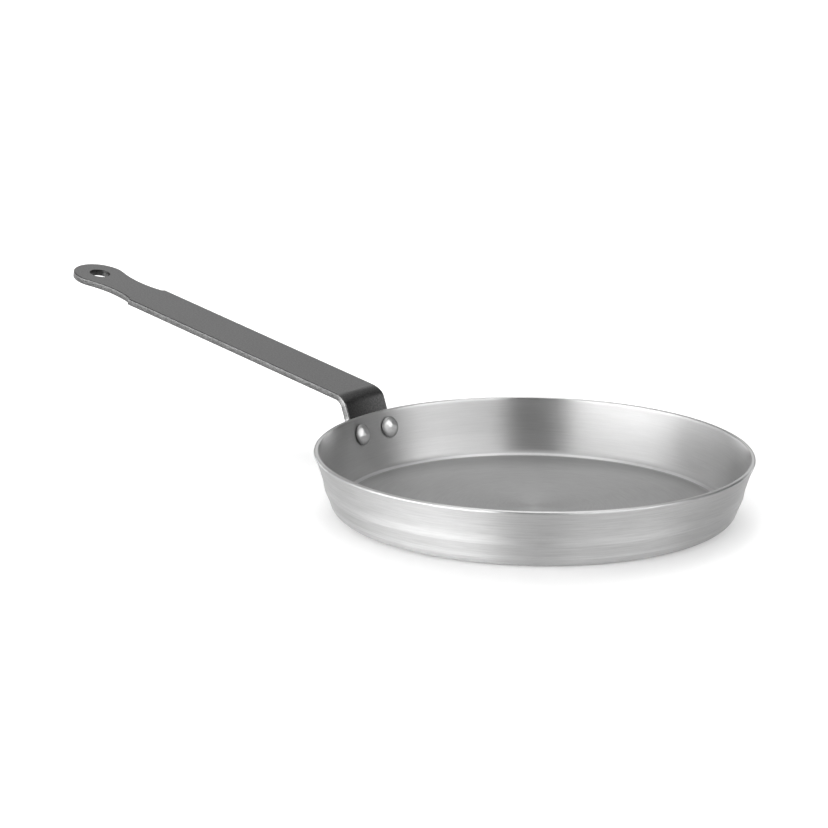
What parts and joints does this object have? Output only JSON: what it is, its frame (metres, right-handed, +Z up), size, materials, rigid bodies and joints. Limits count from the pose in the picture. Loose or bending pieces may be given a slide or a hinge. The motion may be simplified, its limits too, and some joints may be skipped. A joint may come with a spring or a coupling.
{
  "type": "crepe pan",
  "caption": "Shallow round steel frying pan with sloping sides, a flat base and a riveted bent-strip handle that ends in a hanging eye.",
  "frame": {"origin": "centre of the underside of the flat base", "axes": "+Z up, along the axis of the round pan; -X along the handle, seen from above; Y across the handle"},
  "size_m": [0.4664, 0.24, 0.0833],
  "materials": {
    "pan_steel": "bare sheet steel, finely brushed round the pan's axis",
    "handle_steel": "matte mid-grey finish on flat steel strip",
    "rivet_steel": "bare steel, satin, with soft hammer marks"
  },
  "bodies": {
    "root": {"pan_body": "pan_steel", "handle": "handle_steel", "rivet_left": "rivet_steel", "rivet_right": "rivet_steel"}
  },
  "joints": []
}
